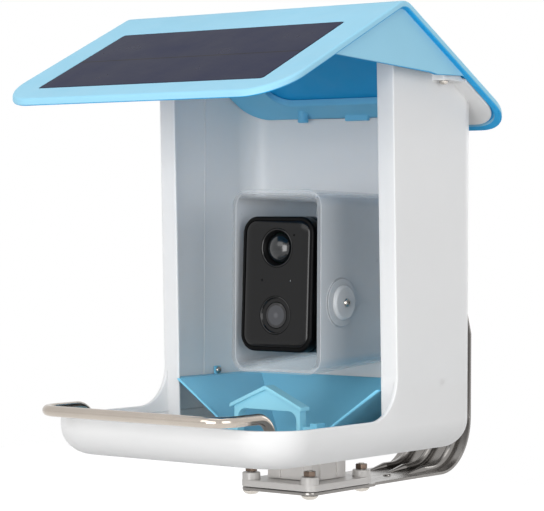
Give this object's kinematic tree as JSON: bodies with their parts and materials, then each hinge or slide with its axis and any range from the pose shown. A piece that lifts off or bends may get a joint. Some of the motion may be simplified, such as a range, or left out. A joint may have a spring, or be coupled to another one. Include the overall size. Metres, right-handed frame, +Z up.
{
  "type": "smart bird feeder",
  "caption": "Bird feeder with a gabled solar roof, open seed tray, perch rail, funnel with a lifting gate and a tilting camera in a clear sleeve, on a steel wall bracket.",
  "frame": {"origin": "middle of the bracket's wall face, on the wall's plane", "axes": "+Z up; the feeder looks along -Y, so +Y points into the wall; +X to the right of someone who looks along +Y"},
  "size_m": [0.21, 0.3292, 0.299],
  "materials": {
    "roof_blue": "light sky blue moulded plastic, fine satin grain",
    "funnel_blue": "mid blue moulded plastic, satin",
    "housing_white": "white moulded plastic, soft gloss",
    "panel_backing": "white backing sheet, matt",
    "solar_dark": "dark blue-grey laminated solar film, smooth",
    "camera_gloss": "piano black, high gloss",
    "camera_matte": "black, satin",
    "black_rubber": "soft matt black rubber",
    "dark_glass": "dark coated lens glass, polished",
    "smoked_lens": "smoked translucent sensor lens, glossy",
    "clear_plastic": "clear polycarbonate, slightly hazy",
    "mount_plastic": "off-white translucent plastic, satin",
    "bare_steel": "warm bright stainless steel",
    "fixings": "plated steel fixings",
    "board_green": "green solder mask",
    "battery_blue": "blue shrink sleeve",
    "speaker_black": "black paper cone and frame",
    "light_guide": "clear light guide"
  },
  "bodies": {
    "feeder": {"cable_grommet": "black_rubber", "camera_sleeve": "clear_plastic", "center_bolt": "fixings", "center_nut": "fixings", "housing_shell": "housing_white", "liner_screw_left": "fixings", "liner_screw_right": "fixings", "mount_block": "mount_plastic", "mount_bolt_front_left": "fixings", "mount_bolt_front_right": "fixings", "mount_bolt_rear_left": "fixings", "mount_bolt_rear_right": "fixings", "mount_nut_front_left": "fixings", "mount_nut_front_right": "fixings", "mount_nut_rear_left": "fixings", "mount_nut_rear_right": "fixings", "mount_plate": "mount_plastic", "perch_bar": "bare_steel", "perch_screw_left": "fixings", "perch_screw_right": "fixings", "pivot_cap_left": "clear_plastic", "pivot_cap_right": "clear_plastic", "ramp_screw_left": "fixings", "ramp_screw_right": "fixings", "roof_liner": "roof_blue", "roof_screw_left": "fixings", "roof_screw_right": "fixings", "roof_shell": "roof_blue", "seed_ramp": "funnel_blue", "sleeve_screw_left": "fixings", "sleeve_screw_right": "fixings", "solar_backing": "panel_backing", "solar_cells": "solar_dark", "solar_cover": "solar_dark", "solar_lead_box": "camera_matte", "wall_bracket": "bare_steel"},
    "camera": {"camera_rear_case": "camera_matte", "camera_front_case": "camera_matte", "case_gasket": "black_rubber", "case_screw_low": "fixings", "case_screw_high": "fixings", "camera_faceplate": "camera_gloss", "pir_ring": "camera_gloss", "pir_dome": "smoked_lens", "pir_sensor": "fixings", "lens_ring": "camera_gloss", "lens_barrel": "camera_matte", "lens_glass": "dark_glass", "status_light": "light_guide", "circuit_board": "board_green", "battery_pack": "battery_blue", "speaker": "speaker_black", "usb_socket": "fixings", "pivot_spacer_left": "clear_plastic", "pivot_spacer_right": "clear_plastic", "pivot_screw_left": "fixings", "pivot_screw_right": "fixings"},
    "button": {"power_button": "camera_matte"},
    "port_flap": {"port_cover": "black_rubber"},
    "gate": {"house_gate": "funnel_blue"}
  },
  "joints": [
    {"name": "camera_tilt", "type": "hinge", "parent": "feeder", "child": "camera", "pos_m": [0, -0.166, 0.0444], "axis": [1, 0, 0], "range_deg": [-8, 12]},
    {"name": "power_button_press", "type": "slide", "parent": "camera", "child": "button", "axis": [0, -0.0349, -0.9994], "range_m": [0, 0.0008], "stiffness_N_per_m": 600},
    {"name": "port_flap_hinge", "type": "hinge", "parent": "camera", "child": "port_flap", "pos_m": [0, -0.1418, 0.0181], "axis": [-1, 0, 0], "range_deg": [0, 100]},
    {"name": "gate_lift", "type": "slide", "parent": "feeder", "child": "gate", "axis": [0, 0, 1], "range_m": [0, 0.01]}
  ]
}
